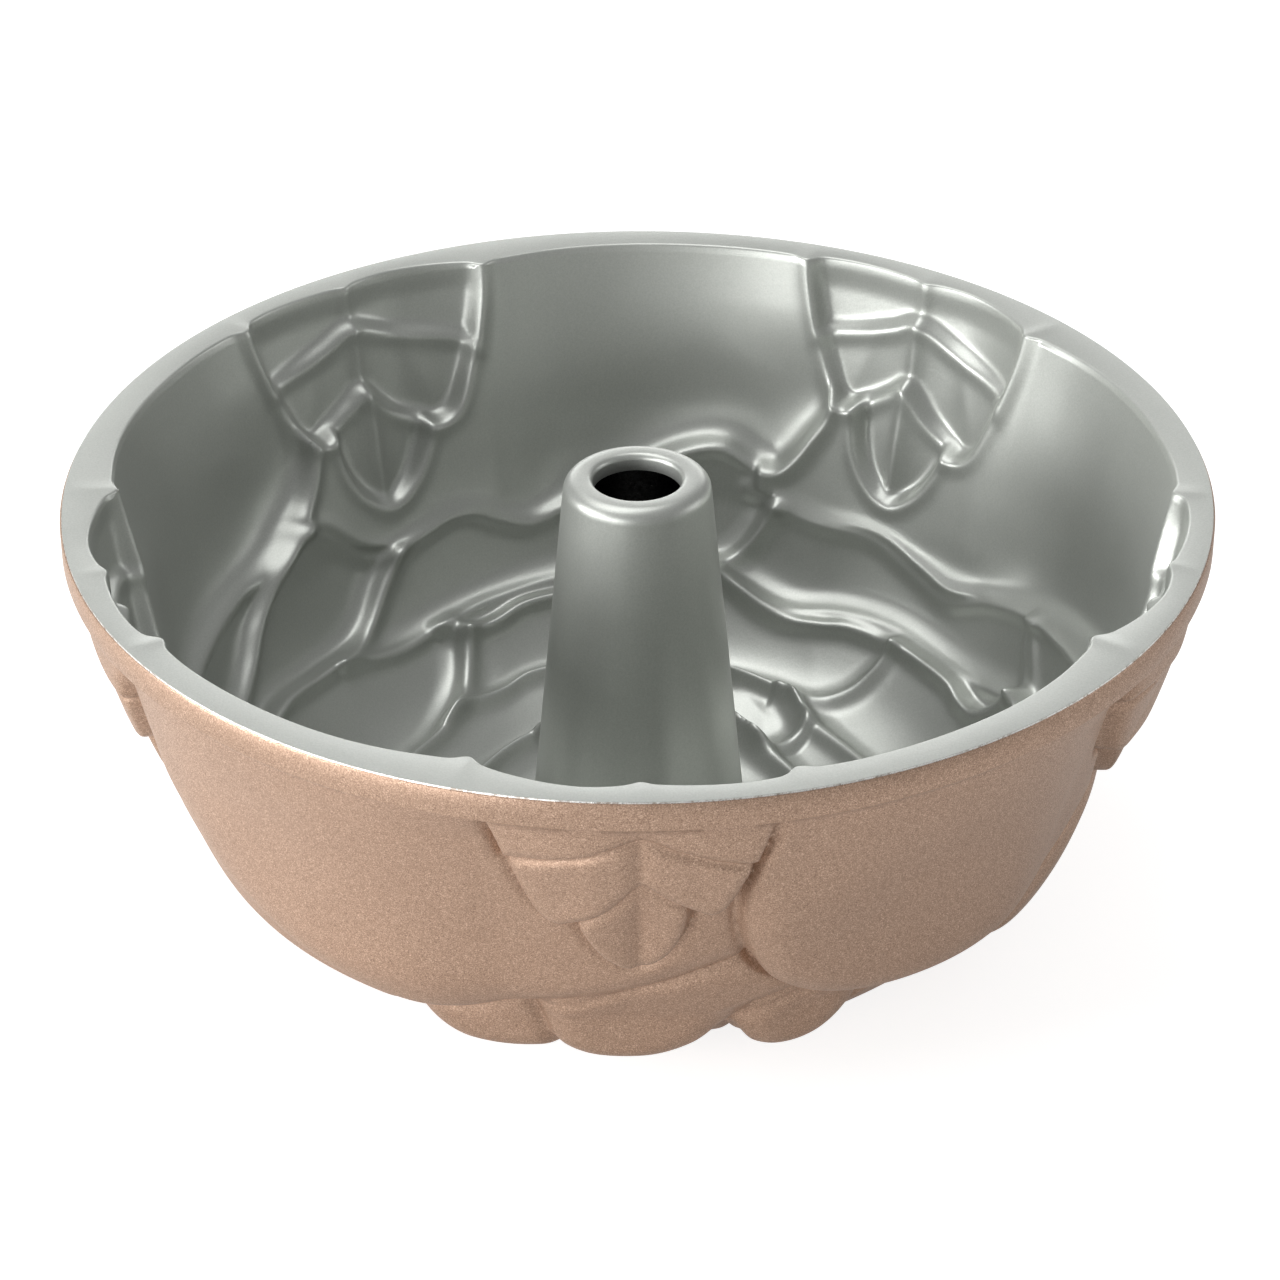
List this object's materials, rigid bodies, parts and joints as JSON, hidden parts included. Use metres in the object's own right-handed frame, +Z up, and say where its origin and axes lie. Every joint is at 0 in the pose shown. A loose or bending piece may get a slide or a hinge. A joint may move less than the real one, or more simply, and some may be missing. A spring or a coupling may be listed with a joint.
{
  "type": "tube cake pan",
  "caption": "Cast aluminium ring cake pan with a rose-petal cavity, a flat rim and a hollow tapered centre tube, release-coated inside and painted bronze outside.",
  "frame": {"origin": "centre of the footprint, on the surface that the pan stands on", "axes": "+Z up along the centre tube, out of the pan's mouth; -Y towards the leaf that faces the viewer"},
  "size_m": [0.252, 0.252, 0.1033],
  "materials": {
    "cast_aluminium": "bare, machined edge and foot ring",
    "release_coating": "satin grey non-stick with a fine metallic fleck",
    "exterior_finish": "satin bronze with a fine metallic grain"
  },
  "bodies": {
    "root": {"pan_casting": "cast_aluminium", "release_coating": "release_coating", "exterior_finish": "exterior_finish"}
  },
  "joints": []
}
